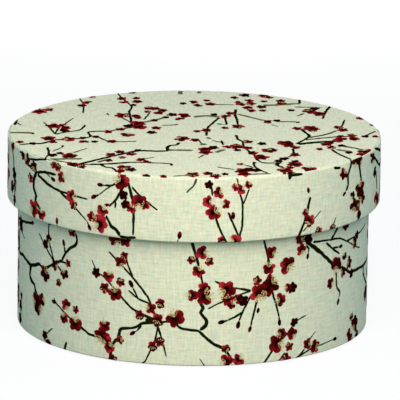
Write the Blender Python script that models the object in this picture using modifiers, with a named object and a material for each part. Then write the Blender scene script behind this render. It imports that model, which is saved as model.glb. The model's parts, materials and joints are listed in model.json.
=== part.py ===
# Round gift box with a deep lift-off lid: grey board covered in printed cloth and lined with paper.
#
# The box stands on Z = 0 with its axis on the world's Z axis, and all lengths are in metres.
# A section is drawn as points of (radius, height) and turned round that axis. Heights in the base
# are taken from the table, and heights in the lid from the lid's lower edge.

import math

import bmesh
import bpy
from mathutils import Matrix, Vector

# The whole box
LID_DIAMETER = 0.200        # over the lid's cloth
BOX_HEIGHT = 0.104          # from the table to the top of the closed lid
LID_DEPTH = 0.035           # from the lid's top down to its lower edge
LID_CLEARANCE = 0.0007      # between the lid's lining and the base's cloth where it laps
SEAT_GAP = 0.0003           # between the lid's ceiling and the base's rim, which carries it

# Sheets that the box is made of
BOARD = 0.0020
CLOTH = 0.0004
PAPER = 0.0003
TAPE = 0.0003
GLUE_GAP = 0.0003           # room that the glue takes between two sheets

# How far each sheet is turned over or kept back
FOLD_RADIUS = 0.0010        # outer radius of cloth folded over a board's edge
BASE_RIM_HEM = 0.012        # cloth turned in over the base's rim
BASE_FOOT_HEM = 0.010       # cloth turned under the base's floor
LID_RIM_HEM = 0.012         # cloth turned in at the lid's lower edge
LID_TOP_HEM = 0.009         # top cloth turned down behind the lid's side cloth
LID_TOP_REVEAL = 0.0007     # top cloth that shows above the side cloth's upper fold
UNDERSIDE_MARGIN = 0.004    # cloth left showing round the sheet under the base
LINING_MARGIN = 0.004       # cloth left showing between a rim and the lining
LINING_FOOT = 0.008         # side lining turned onto the floor or the lid's ceiling
LINING_FOLD_RADIUS = 0.0006

# Seams of the strips that are bent round into rings
BOARD_SEAM_AZIMUTH = math.radians(135)
CLOTH_SEAM_AZIMUTH = math.radians(118)
BUTT_GAP = 0.0005           # between the two ends of a ring of board
LAP_WIDTH = 0.012           # one end of a cloth strip lies this far over the other
TAPE_WIDTH = 0.020
CUTTER_OVERRUN = 0.002      # how far a cutter passes what it cuts

# How finely round shapes are divided
ROUND_STEPS = 72
FOLD_STEPS = 2
BOARD_CORNER_STEPS = 1
SHARP_ANGLE = math.radians(30)
MERGE_DISTANCE = 0.00001

# Radii of the lid, from the outside in
LID_CLOTH_RADIUS = LID_DIAMETER / 2
LID_TOP_CLOTH_RADIUS = LID_CLOTH_RADIUS - CLOTH - GLUE_GAP
LID_BOARD_RADIUS = LID_TOP_CLOTH_RADIUS - CLOTH - GLUE_GAP
LID_BOARD_BORE = LID_BOARD_RADIUS - BOARD
LID_INNER_BACK = LID_BOARD_BORE - GLUE_GAP              # back of the hem and of the tape
LID_HEM_FACE = LID_INNER_BACK - CLOTH
LID_LINING_FACE = LID_INNER_BACK - max(CLOTH, TAPE) - GLUE_GAP - PAPER

# Radii of the base, from the outside in
BASE_CLOTH_RADIUS = LID_LINING_FACE - LID_CLEARANCE - CLOTH
BASE_BOARD_RADIUS = BASE_CLOTH_RADIUS - CLOTH - GLUE_GAP
BASE_BOARD_BORE = BASE_BOARD_RADIUS - BOARD
BASE_INNER_BACK = BASE_BOARD_BORE - GLUE_GAP            # back of the hem and of the tape
BASE_HEM_FACE = BASE_INNER_BACK - CLOTH
BASE_LINING_FACE = BASE_INNER_BACK - max(CLOTH, TAPE) - GLUE_GAP - PAPER

# Heights in the lid, above its lower edge
LID_BOARD_BOTTOM = CLOTH + GLUE_GAP
LID_BOARD_TOP = LID_DEPTH - CLOTH - GLUE_GAP
LID_TOP_BOARD_BOTTOM = LID_BOARD_TOP - BOARD
LID_FOOT_FACE = LID_TOP_BOARD_BOTTOM - GLUE_GAP - PAPER
LID_CEILING_BACK = LID_FOOT_FACE - GLUE_GAP
LID_CEILING = LID_CEILING_BACK - PAPER
LID_LIFT_HEIGHT = BOX_HEIGHT - LID_DEPTH                # of the lid's lower edge over the table

# Heights in the base, above the table
BASE_CLOTH_BOTTOM = PAPER + GLUE_GAP
BASE_BOARD_BOTTOM = BASE_CLOTH_BOTTOM + CLOTH + GLUE_GAP
BASE_FLOOR_TOP = BASE_BOARD_BOTTOM + BOARD
BASE_FOOT_FACE = BASE_FLOOR_TOP + GLUE_GAP + PAPER
BASE_FLOOR_LINING_BOTTOM = BASE_FOOT_FACE + GLUE_GAP
BASE_RIM_TOP = LID_LIFT_HEIGHT + LID_CEILING - SEAT_GAP
BASE_BOARD_TOP = BASE_RIM_TOP - CLOTH - GLUE_GAP

BOARD_CORNER = max(FOLD_RADIUS - CLOTH - GLUE_GAP, 0)   # leaves even room under the folded cloth

# Colours, as linear red, green and blue, and roughness of each sheet
CLOTH_FINISH = ((0.74, 0.76, 0.56), 0.88)
BOARD_FINISH = ((0.33, 0.29, 0.24), 0.92)
LINING_FINISH = ((0.80, 0.78, 0.69), 0.80)
UNDERSIDE_FINISH = ((0.62, 0.60, 0.50), 0.85)
TAPE_FINISH = ((0.50, 0.36, 0.21), 0.75)


def clear_scene():
    for item in list(bpy.data.objects):
        bpy.data.objects.remove(item, do_unlink=True)


def new_collection(name):
    collection = bpy.data.collections.new(name)
    bpy.context.scene.collection.children.link(collection)
    return collection


def new_empty(name, height, parent, collection):
    empty = bpy.data.objects.new(name, None)
    empty.location = (0, 0, height)
    empty.parent = parent
    collection.objects.link(empty)
    return empty


def new_object(name, mesh, parent, collection):
    item = bpy.data.objects.new(name, mesh)
    item.parent = parent
    collection.objects.link(item)
    return item


def give_finish(item, finish):
    colour, roughness = finish
    material = bpy.data.materials.new(item.name + "_finish")
    material.use_nodes = True
    shader = material.node_tree.nodes["Principled BSDF"]
    shader.inputs["Base Color"].default_value = (*colour, 1)
    shader.inputs["Roughness"].default_value = roughness
    shader.inputs["Metallic"].default_value = 0
    item.data.materials.append(material)


def arc_at_corner(before, corner, after, radius, steps):
    to_before = (before - corner).normalized()
    to_after = (after - corner).normalized()
    half_angle = to_before.angle(to_after) / 2
    centre = corner + (to_before + to_after).normalized() * (radius / math.sin(half_angle))
    reach = radius / math.tan(half_angle)
    first = corner + to_before * reach - centre
    last = corner + to_after * reach - centre
    return [centre + first.slerp(last, step / steps) * radius for step in range(steps + 1)]


def section_line(points, radius, steps, closed=False):
    """A line through the (radius, height) points with its corners rounded."""
    corners = [Vector((across, 0, height)) for across, height in points]
    if radius <= 0:
        return corners
    count = len(corners)
    line = []
    for index, corner in enumerate(corners):
        if closed or 0 < index < count - 1:
            before = corners[index - 1]
            after = corners[(index + 1) % count]
            line += arc_at_corner(before, corner, after, radius, steps)
        else:
            line.append(corner)
    return line


def turned(name, line, parent, collection, closed=False):
    """The line turned right round the Z axis: a skin, or a solid ring where the line is closed."""
    mesh = bpy.data.meshes.new(name)
    drawing = bmesh.new()
    dots = [drawing.verts.new(point) for point in line]
    for start, end in zip(dots, dots[1:]):
        drawing.edges.new((start, end))
    if closed:
        drawing.edges.new((dots[-1], dots[0]))
    drawing.to_mesh(mesh)
    drawing.free()
    item = new_object(name, mesh, parent, collection)
    screw = item.modifiers.new("turn", "SCREW")
    screw.axis = "Z"
    screw.steps = ROUND_STEPS
    screw.render_steps = ROUND_STEPS
    screw.use_merge_vertices = True
    screw.merge_threshold = MERGE_DISTANCE
    screw.use_smooth_shade = True
    return item


def thicken(item, thickness):
    """The skin is the side that shows, so its thickness goes behind it."""
    solidify = item.modifiers.new("thickness", "SOLIDIFY")
    solidify.thickness = thickness
    solidify.offset = -1
    solidify.use_even_offset = True


def even_shading(item):
    weighted = item.modifiers.new("even_shading", "WEIGHTED_NORMAL")
    weighted.keep_sharp = True


def combine(item, operation, other):
    boolean = item.modifiers.new(operation.lower(), "BOOLEAN")
    boolean.operation = operation
    boolean.solver = "EXACT"
    boolean.object = other


def hide_helper(item):
    item.hide_render = True
    item.display_type = "WIRE"


def disc(name, radius, bottom, thickness, parent, collection):
    mesh = bpy.data.meshes.new(name)
    drawing = bmesh.new()
    bmesh.ops.create_cone(drawing, cap_ends=True, segments=ROUND_STEPS,
                          radius1=radius, radius2=radius, depth=thickness)
    bmesh.ops.translate(drawing, verts=drawing.verts, vec=(0, 0, thickness / 2))
    drawing.to_mesh(mesh)
    drawing.free()
    mesh.shade_smooth()
    mesh.set_sharp_from_angle(angle=SHARP_ANGLE)
    item = new_object(name, mesh, parent, collection)
    item.location = (0, 0, bottom)
    return item


def seam_block(name, width, inner, outer, bottom, top, azimuth, parent, collection):
    """A block that stands across the wall at a seam, passing it by the overrun on every side."""
    mesh = bpy.data.meshes.new(name)
    drawing = bmesh.new()
    bmesh.ops.create_cube(drawing, size=1)
    depth = outer - inner + 2 * CUTTER_OVERRUN
    height = top - bottom + 2 * CUTTER_OVERRUN
    bmesh.ops.scale(drawing, verts=drawing.verts, vec=(depth, width, height))
    drawing.to_mesh(mesh)
    drawing.free()
    item = new_object(name, mesh, parent, collection)
    across = (inner + outer) / 2
    item.location = Matrix.Rotation(azimuth, 3, "Z") @ Vector((across, 0, (bottom + top) / 2))
    item.rotation_euler = (0, 0, azimuth)
    hide_helper(item)
    return item


def ring_points(inner, outer, bottom, top):
    return [(outer, top), (outer, bottom), (inner, bottom), (inner, top)]


def board_ring(name, inner, outer, bottom, top, parent, parts, helpers):
    """A strip of board bent round until its ends nearly meet."""
    line = section_line(ring_points(inner, outer, bottom, top), BOARD_CORNER,
                        BOARD_CORNER_STEPS, closed=True)
    item = turned(name, line, parent, parts, closed=True)
    gap = seam_block(name + "_butt_gap", BUTT_GAP, inner, outer, bottom, top,
                     BOARD_SEAM_AZIMUTH, parent, helpers)
    combine(item, "DIFFERENCE", gap)
    even_shading(item)
    give_finish(item, BOARD_FINISH)
    return item


def seam_strip(name, width, inner, outer, bottom, top, azimuth, parent, collection, helpers):
    """A piece as wide as the seam block, cut out of a whole ring."""
    item = turned(name, section_line(ring_points(inner, outer, bottom, top), 0, 1),
                  parent, collection, closed=True)
    block = seam_block(name + "_width", width, inner, outer, bottom, top,
                       azimuth, parent, helpers)
    combine(item, "INTERSECT", block)
    return item


def seam_tape(name, back, bottom, top, parent, parts, helpers):
    item = seam_strip(name, TAPE_WIDTH, back - TAPE, back, bottom, top,
                      BOARD_SEAM_AZIMUTH, parent, parts, helpers)
    even_shading(item)
    give_finish(item, TAPE_FINISH)


def side_cover(name, points, outer, lap_bottom, lap_top, parent, parts, helpers):
    """A strip of cloth round the wall, with one end lapped over the other."""
    item = turned(name, section_line(points, FOLD_RADIUS, FOLD_STEPS), parent, parts)
    thicken(item, CLOTH)
    lap = seam_strip(name + "_lap", LAP_WIDTH, outer - CLOTH / 2, outer + CLOTH,
                     lap_bottom, lap_top, CLOTH_SEAM_AZIMUTH, parent, helpers, helpers)
    hide_helper(lap)
    combine(item, "UNION", lap)
    even_shading(item)
    give_finish(item, CLOTH_FINISH)


def side_lining(name, points, parent, parts):
    line = section_line(points, LINING_FOLD_RADIUS, FOLD_STEPS)
    item = turned(name, line, parent, parts)
    thicken(item, PAPER)
    even_shading(item)
    give_finish(item, LINING_FINISH)


def make_base(parent, parts, helpers):
    underside = disc("base_underside_sheet", BASE_CLOTH_RADIUS - UNDERSIDE_MARGIN, 0, PAPER,
                     parent, parts)
    give_finish(underside, UNDERSIDE_FINISH)

    floor = disc("base_floor_board", BASE_BOARD_BORE - GLUE_GAP, BASE_BOARD_BOTTOM, BOARD,
                 parent, parts)
    give_finish(floor, BOARD_FINISH)

    board_ring("base_wall_board", BASE_BOARD_BORE, BASE_BOARD_RADIUS,
               BASE_BOARD_BOTTOM, BASE_BOARD_TOP, parent, parts, helpers)

    hem_bottom = BASE_RIM_TOP - BASE_RIM_HEM
    seam_tape("base_wall_seam_tape", BASE_INNER_BACK, BASE_FLOOR_TOP + GLUE_GAP,
              hem_bottom - GLUE_GAP, parent, parts, helpers)

    # From the hem inside the rim, over the rim, down the wall and in under the floor
    cover_points = [
        (BASE_HEM_FACE, hem_bottom),
        (BASE_HEM_FACE, BASE_RIM_TOP),
        (BASE_CLOTH_RADIUS, BASE_RIM_TOP),
        (BASE_CLOTH_RADIUS, BASE_CLOTH_BOTTOM),
        (BASE_CLOTH_RADIUS - BASE_FOOT_HEM, BASE_CLOTH_BOTTOM),
    ]
    side_cover("base_side_cover", cover_points, BASE_CLOTH_RADIUS,
               BASE_CLOTH_BOTTOM + FOLD_RADIUS, BASE_RIM_TOP - FOLD_RADIUS,
               parent, parts, helpers)

    lining_points = [
        (BASE_LINING_FACE - LINING_FOOT, BASE_FOOT_FACE),
        (BASE_LINING_FACE, BASE_FOOT_FACE),
        (BASE_LINING_FACE, BASE_RIM_TOP - LINING_MARGIN),
    ]
    side_lining("base_side_lining", lining_points, parent, parts)

    floor_lining = disc("base_floor_lining", BASE_LINING_FACE - GLUE_GAP,
                        BASE_FLOOR_LINING_BOTTOM, PAPER, parent, parts)
    give_finish(floor_lining, LINING_FINISH)


def make_lid(parent, parts, helpers):
    top_board = disc("lid_top_board", LID_BOARD_BORE - GLUE_GAP, LID_TOP_BOARD_BOTTOM, BOARD,
                     parent, parts)
    give_finish(top_board, BOARD_FINISH)

    board_ring("lid_rim_board", LID_BOARD_BORE, LID_BOARD_RADIUS,
               LID_BOARD_BOTTOM, LID_BOARD_TOP, parent, parts, helpers)

    seam_tape("lid_rim_seam_tape", LID_INNER_BACK, LID_RIM_HEM + GLUE_GAP,
              LID_TOP_BOARD_BOTTOM - GLUE_GAP, parent, parts, helpers)

    # Across the top from the middle, then down behind the side cloth
    top_points = [
        (0, LID_DEPTH),
        (LID_TOP_CLOTH_RADIUS, LID_DEPTH),
        (LID_TOP_CLOTH_RADIUS, LID_DEPTH - LID_TOP_HEM),
    ]
    top_cover = turned("lid_top_cover", section_line(top_points, FOLD_RADIUS, FOLD_STEPS),
                       parent, parts)
    thicken(top_cover, CLOTH)
    even_shading(top_cover)
    give_finish(top_cover, CLOTH_FINISH)

    # Down the rim, round the lower edge and up inside it
    cover_top = LID_DEPTH - LID_TOP_REVEAL
    cover_points = [
        (LID_CLOTH_RADIUS, cover_top),
        (LID_CLOTH_RADIUS, 0),
        (LID_HEM_FACE, 0),
        (LID_HEM_FACE, LID_RIM_HEM),
    ]
    side_cover("lid_side_cover", cover_points, LID_CLOTH_RADIUS,
               FOLD_RADIUS, cover_top - FOLD_RADIUS, parent, parts, helpers)

    lining_points = [
        (LID_LINING_FACE, LINING_MARGIN),
        (LID_LINING_FACE, LID_FOOT_FACE),
        (LID_LINING_FACE - LINING_FOOT, LID_FOOT_FACE),
    ]
    side_lining("lid_side_lining", lining_points, parent, parts)

    top_lining = disc("lid_top_lining", LID_LINING_FACE - GLUE_GAP, LID_CEILING, PAPER,
                      parent, parts)
    give_finish(top_lining, LINING_FINISH)


def main():
    clear_scene()
    parts = new_collection("gift_box")
    helpers = new_collection("gift_box_cutters")
    base = new_empty("base", 0, None, parts)
    lid = new_empty("lid", LID_LIFT_HEIGHT, base, parts)
    make_base(base, parts, helpers)
    make_lid(lid, parts, helpers)


main()
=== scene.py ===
# Round gift box in cream linen cloth, printed with flowering plum boughs.
#
# The cloth is cut flat and wrapped, as the maker does it: a strip for each side and a disc for the
# lid's top. The print is drawn flat too, in millimetres, and wrapped by the same functions. Across is
# measured round the wall from the middle of the front, and up is the height over the table. On the
# lid's top it is x and y.

import bisect
import json
import math
import random

import bmesh
import bpy
from mathutils import Matrix, Vector, geometry, noise


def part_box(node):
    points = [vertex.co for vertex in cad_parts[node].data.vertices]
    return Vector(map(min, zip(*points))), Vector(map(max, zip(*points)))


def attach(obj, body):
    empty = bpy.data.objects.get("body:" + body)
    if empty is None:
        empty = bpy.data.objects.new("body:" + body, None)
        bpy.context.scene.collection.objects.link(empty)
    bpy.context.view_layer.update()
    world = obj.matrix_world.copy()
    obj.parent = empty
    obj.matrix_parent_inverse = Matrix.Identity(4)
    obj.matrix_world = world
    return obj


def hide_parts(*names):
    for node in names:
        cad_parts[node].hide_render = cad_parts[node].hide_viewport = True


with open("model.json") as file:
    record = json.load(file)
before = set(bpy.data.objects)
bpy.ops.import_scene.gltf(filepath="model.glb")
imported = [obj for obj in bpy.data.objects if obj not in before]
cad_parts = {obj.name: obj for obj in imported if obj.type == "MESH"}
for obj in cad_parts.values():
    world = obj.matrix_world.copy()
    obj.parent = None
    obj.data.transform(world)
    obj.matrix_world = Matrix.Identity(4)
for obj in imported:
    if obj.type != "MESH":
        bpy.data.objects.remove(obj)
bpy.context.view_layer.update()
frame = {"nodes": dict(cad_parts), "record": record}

mm = 0.001


# Measures taken from the frame, in millimetres
def reachOf(node):
    low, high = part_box(node)
    return high[0] / mm, low[2] / mm, high[2] / mm


baseRadius, baseBottom, baseRim = reachOf("base_side_cover")
lidRadius, lidBottom, lidSideTop = reachOf("lid_side_cover")
topRadius, topHemBottom, lidTop = reachOf("lid_top_cover")

cloth = {
    "thickness": 0.4,
    "fold": 1.0,            # radius of a fold
    "foldSteps": 6,
    "steps": 432,           # round the box
    "rowHeight": 5.0,
    "ringWidth": 8.0,
    "swell": 0.06,          # how far the cloth stands off the board in places
    "swellSpan": 22.0,
    "seamTurn": 208.0,      # degrees from the front, by way of the right side
    "lap": 12.0,
    "lapRise": 0.43,
    "lapSlope": 3.0,
    "sharpAngle": 40,       # degrees, past which an edge stays sharp
    "merge": 0.001,         # vertices this near each other become one
}

hems = {
    "underFloor": 10.0,
    "turnedIn": 12.0,
    "baseRim": 3.4,         # from the cloth's outside to the hem's inside
    "lidRim": 4.1,
    "onTop": 0.66,
    "onTopFold": 0.6,
}

baseStrip = {
    "corners": [
        (baseRadius - hems["underFloor"], baseBottom),
        (baseRadius, baseBottom),
        (baseRadius, baseRim),
        (baseRadius - hems["baseRim"], baseRim),
        (baseRadius - hems["baseRim"], baseRim - hems["turnedIn"]),
    ],
    "folds": [cloth["fold"]] * 3,
    "radius": baseRadius,
    "wall": (baseBottom + cloth["fold"], baseRim - cloth["fold"]),
    "swellSeed": 1,
}

lidStrip = {
    "corners": [
        (lidRadius - hems["lidRim"], lidBottom + hems["turnedIn"]),
        (lidRadius - hems["lidRim"], lidBottom),
        (lidRadius, lidBottom),
        (lidRadius, lidSideTop),
        (lidRadius - hems["onTop"], lidSideTop),
    ],
    "folds": [cloth["fold"], cloth["fold"], hems["onTopFold"]],
    "radius": lidRadius,
    "wall": (lidBottom + cloth["fold"], lidSideTop - hems["onTopFold"]),
    "swellSeed": 1,
}

topDisc = {
    "corners": [(0.0, lidTop), (topRadius, lidTop), (topRadius, topHemBottom)],
    "folds": [cloth["fold"]],
    "swellSeed": 2,
}


def cornerArc(before, corner, after, fold, steps):
    toBefore = (before - corner).normalized()
    toAfter = (after - corner).normalized()
    middle = corner + (toBefore + toAfter) * fold
    first = corner + toBefore * fold - middle
    last = corner + toAfter * fold - middle
    return [middle + first.slerp(last, step / steps) * fold for step in range(steps + 1)]


def makeSection(shape, levelCorner=None):
    # The line that a sheet follows, with how far along the flat sheet each point lies. Where a level
    # corner is given, that is the height over the table from this corner's fold on.
    corners = [Vector((across, 0, up)) for across, up in shape["corners"]]
    line = [corners[0]]
    arcs = []
    for index, fold in enumerate(shape["folds"]):
        arc = cornerArc(*corners[index:index + 3], fold, cloth["foldSteps"])
        arcs.append((len(line), len(line) + len(arc) - 1))
        line += arc
    line.append(corners[-1])
    along = [0.0]
    for start, end in zip(line, line[1:]):
        along.append(along[-1] + (end - start).length)
    if levelCorner is not None:
        level = arcs[levelCorner][1]
        shift = line[level].z - along[level]
        along = [value + shift for value in along]
    normals = []
    for index in range(len(line)):
        run = line[min(index + 1, len(line) - 1)] - line[max(index - 1, 0)]
        normals.append(Vector((run.z, 0, -run.x)).normalized())
    shape["line"] = line
    shape["along"] = along
    shape["normals"] = normals
    shape["creases"] = [along[index] for first, last in arcs for index in range(first, last + 1)]


makeSection(baseStrip, 0)
makeSection(lidStrip, 1)
makeSection(topDisc)
# The disc's line runs outwards and down, so its normals point inwards until they are turned round
for normal in topDisc["normals"]:
    normal.negate()


def sectionPoint(shape, distance):
    along = shape["along"]
    index = min(max(bisect.bisect_right(along, distance), 1), len(along) - 1)
    share = (distance - along[index - 1]) / (along[index] - along[index - 1])
    point = shape["line"][index - 1].lerp(shape["line"][index], share)
    blend = min(max(share, 0), 1)
    normal = shape["normals"][index - 1].lerp(shape["normals"][index], blend).normalized()
    return point, normal


def stripEnds(shape):
    # The two ends of the strip, which laps over its own start at the seam
    perDegree = math.tau * shape["radius"] / 360
    half = cloth["lap"] / 2
    return (cloth["seamTurn"] - 360) * perDegree - half, cloth["seamTurn"] * perDegree + half


def lapRise(shape, across):
    end = stripEnds(shape)[1]
    start = end - cloth["lap"] - cloth["lapSlope"]
    share = min(max((across - start) / cloth["lapSlope"], 0), 1)
    return cloth["lapRise"] * share * share * (3 - 2 * share)


def swell(shape, point):
    span = cloth["swellSpan"]
    spot = Vector((point.x / span, point.y / span, shape["swellSeed"]))
    return cloth["swell"] * (noise.noise(spot) - 0.5)


def wrapStrip(shape):
    # Flat millimetres to a place on the wall, in metres
    def place(point):
        section, normal = sectionPoint(shape, point.y)
        turn = point.x / shape["radius"]
        out = section + normal * (point.z + lapRise(shape, point.x) + swell(shape, point))
        return Matrix.Rotation(turn - math.pi / 2, 3, "Z") @ out * mm
    return place


def wrapDisc(shape):
    def place(point):
        flat = Vector((point.x, point.y, 0))
        section, normal = sectionPoint(shape, flat.length)
        out = section + normal * (point.z + swell(shape, point))
        turn = math.atan2(point.y, point.x)
        return Matrix.Rotation(turn, 3, "Z") @ out * mm
    return place


# Shader helpers

def newTree(name):
    material = bpy.data.materials.new(name)
    material.use_nodes = True
    tree = material.node_tree
    shader = tree.nodes["Principled BSDF"]
    return material, tree, shader


def addNode(tree, kind, **values):
    node = tree.nodes.new(kind)
    for key, value in values.items():
        setattr(node, key, value)
    return node


def feed(tree, node, socket, source):
    # A socket takes another node's output, or a plain value
    if isinstance(source, bpy.types.NodeSocket):
        tree.links.new(source, node.inputs[socket])
    else:
        node.inputs[socket].default_value = source


def mathNode(tree, operation, first, second=0.0, clamp=False):
    node = addNode(tree, "ShaderNodeMath", operation=operation, use_clamp=clamp)
    feed(tree, node, 0, first)
    feed(tree, node, 1, second)
    return node.outputs[0]


def scaledPlus(tree, value, factor, more, clamp=False):
    # The value times the factor, with more added
    return mathNode(tree, "ADD", mathNode(tree, "MULTIPLY", value, factor), more, clamp)


def stretched(tree, vector, scale):
    node = addNode(tree, "ShaderNodeVectorMath", operation="MULTIPLY")
    feed(tree, node, 0, vector)
    feed(tree, node, 1, scale)
    return node.outputs[0]


def noiseValue(tree, vector, scale, detail, roughness=0.5):
    node = addNode(tree, "ShaderNodeTexNoise")
    feed(tree, node, "Vector", vector)
    feed(tree, node, "Scale", scale)
    feed(tree, node, "Detail", detail)
    feed(tree, node, "Roughness", roughness)
    return node.outputs[0]


def mixColour(tree, share, first, second, blend="MIX"):
    node = addNode(tree, "ShaderNodeMix", data_type="RGBA", blend_type=blend)
    feed(tree, node, 0, share)
    feed(tree, node, 6, first)
    feed(tree, node, 7, second)
    return node.outputs[2]


def ramp(tree, value, stops):
    node = addNode(tree, "ShaderNodeValToRGB")
    feed(tree, node, 0, value)
    elements = node.color_ramp.elements
    while len(elements) < len(stops):
        elements.new(0.5)
    for element, (place, colour) in zip(elements, stops):
        element.position = place
        element.color = (*colour, 1)
    return node.outputs[0]


def newGroup(name, inputs, outputs):
    group = bpy.data.node_groups.new(name, "ShaderNodeTree")
    for label, kind, value in inputs:
        socket = group.interface.new_socket(label, in_out="INPUT", socket_type=kind)
        if value is not None:
            socket.default_value = value
    for label, kind in outputs:
        group.interface.new_socket(label, in_out="OUTPUT", socket_type=kind)
    start = group.nodes.new("NodeGroupInput")
    end = group.nodes.new("NodeGroupOutput")
    return group, start.outputs, end


def useGroup(tree, group, **values):
    node = addNode(tree, "ShaderNodeGroup", node_tree=group)
    for label, value in values.items():
        feed(tree, node, label, value)
    return node.outputs


def clothMap(tree):
    return addNode(tree, "ShaderNodeUVMap", uv_map="flat").outputs[0]


def bumped(tree, shader, height, strength, distance):
    node = addNode(tree, "ShaderNodeBump")
    feed(tree, node, "Height", height)
    feed(tree, node, "Strength", strength)
    feed(tree, node, "Distance", distance)
    tree.links.new(node.outputs[0], shader.inputs["Normal"])


linen = {
    "thread": 0.0005,                   # metres from thread to thread
    "slub": 0.0011,                     # metres across a slub
    "slubSlimness": (0.15, 0.16),       # its width over its length, lying and upright
    "slubNoise": (2.0, 0.55),           # detail, roughness
    "mottleNoise": (200.0, 1.0, 0.5),   # scale, detail, roughness
    "threadShare": 0.5,                 # of the weave's height, next to the slubs
    "hues": [
        (0.35, (0.75, 0.775, 0.553)),   # greenish
        (0.46, (0.775, 0.775, 0.545)),  # cream
        (0.55, (0.795, 0.782, 0.532)),  # straw
        (0.66, (0.79, 0.765, 0.55)),    # pinkish
    ],
    "slubContrast": 0.40,
    "roughness": 0.78,
    "slubRoughness": 0.1,
    "sheen": 0.15,
    "weave": 0.28,
    "weaveDepth": 0.0003,
}


# Linen weave: fine threads over and under each other, with thicker slubs both ways and soft
# mottling. It works on the flat cloth in metres.
def makeLinen():
    group, given, end = newGroup(
        "linenWeave",
        [
            ("Vector", "NodeSocketVector", None),
            ("Thread", "NodeSocketFloat", linen["thread"]),
            ("Slub", "NodeSocketFloat", linen["slub"]),
        ],
        [
            ("Height", "NodeSocketFloat"),
            ("Slubs", "NodeSocketFloat"),
            ("Mottle", "NodeSocketFloat"),
        ],
    )
    vector = given["Vector"]
    perThread = mathNode(group, "DIVIDE", math.pi, given["Thread"])
    apart = addNode(group, "ShaderNodeSeparateXYZ")
    feed(group, apart, 0, vector)
    acrossWave = mathNode(group, "SINE", mathNode(group, "MULTIPLY", apart.outputs[0], perThread))
    upWave = mathNode(group, "SINE", mathNode(group, "MULTIPLY", apart.outputs[1], perThread))
    woven = mathNode(group, "MULTIPLY", acrossWave, upWave)
    threads = mathNode(group, "ABSOLUTE", woven)

    perSlub = mathNode(group, "DIVIDE", 1.0, given["Slub"])
    lyingSlim, uprightSlim = linen["slubSlimness"]
    lying = stretched(group, vector, (lyingSlim, 1.0, 1.0))
    upright = stretched(group, vector, (1.0, uprightSlim, 1.0))
    slubs = mathNode(group, "ADD", noiseValue(group, lying, perSlub, *linen["slubNoise"]),
                     noiseValue(group, upright, perSlub, *linen["slubNoise"]))

    results = {
        "Height": scaledPlus(group, threads, linen["threadShare"], slubs),
        "Slubs": slubs,
        "Mottle": noiseValue(group, vector, *linen["mottleNoise"]),
    }
    for label, result in results.items():
        group.links.new(result, end.inputs[label])
    return group


linenWeave = makeLinen()


def clothWeave(tree):
    # The weave with this cloth's own values, and its slubs as an unevenness round zero
    weave = useGroup(tree, linenWeave, Vector=clothMap(tree), Thread=linen["thread"], Slub=linen["slub"])
    return weave, mathNode(tree, "SUBTRACT", weave["Slubs"], 1.0)


def makeLinenCloth():
    material, tree, shader = newTree("linenCloth")
    weave, uneven = clothWeave(tree)
    hue = ramp(tree, weave["Mottle"], linen["hues"])
    lightness = scaledPlus(tree, uneven, linen["slubContrast"], 1.0)
    grey = addNode(tree, "ShaderNodeCombineColor")
    for channel in range(3):
        feed(tree, grey, channel, lightness)
    colour = mixColour(tree, 1.0, hue, grey.outputs[0], "MULTIPLY")
    tree.links.new(colour, shader.inputs["Base Color"])
    roughness = scaledPlus(tree, weave["Slubs"], linen["slubRoughness"], linen["roughness"])
    tree.links.new(roughness, shader.inputs["Roughness"])
    shader.inputs["Specular IOR Level"].default_value = linen["sheen"]
    bumped(tree, shader, weave["Height"], linen["weave"], linen["weaveDepth"])
    return material


inkFinish = {
    "roughness": 0.8,
    "sheen": 0.0,
    "unevenness": 0.25,     # how much the slubs change its shade
}


# Ink lies on the same threads, and its shade comes from the print's own attribute
def makeInk(name, stops):
    material, tree, shader = newTree(name)
    weave, uneven = clothWeave(tree)
    shade = addNode(tree, "ShaderNodeAttribute", attribute_name="shade").outputs["Fac"]
    value = scaledPlus(tree, uneven, inkFinish["unevenness"], shade, clamp=True)
    tree.links.new(ramp(tree, value, stops), shader.inputs["Base Color"])
    shader.inputs["Roughness"].default_value = inkFinish["roughness"]
    shader.inputs["Specular IOR Level"].default_value = inkFinish["sheen"]
    bumped(tree, shader, weave["Height"], linen["weave"], linen["weaveDepth"])
    return material


linenCloth = makeLinenCloth()
inks = {
    "boughs": makeInk("boughInk", [
        (0.0, (0.006, 0.010, 0.002)),
        (0.3, (0.010, 0.016, 0.002)),
        (0.6, (0.028, 0.036, 0.004)),
        (0.8, (0.07, 0.085, 0.03)),
        (1.0, (0.20, 0.22, 0.09)),
    ]),
    "blossoms": makeInk("petalInk", [
        (0.0, (0.007, 0.001, 0.0005)),
        (0.3, (0.055, 0.002, 0.002)),
        (0.65, (0.20, 0.006, 0.009)),
        (1.0, (0.46, 0.022, 0.030)),
    ]),
    "stamens": makeInk("stamenInk", [
        (0.0, (0.06, 0.004, 0.002)),
        (0.4, (0.42, 0.26, 0.08)),
        (1.0, (0.76, 0.62, 0.30)),
    ]),
}

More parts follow.
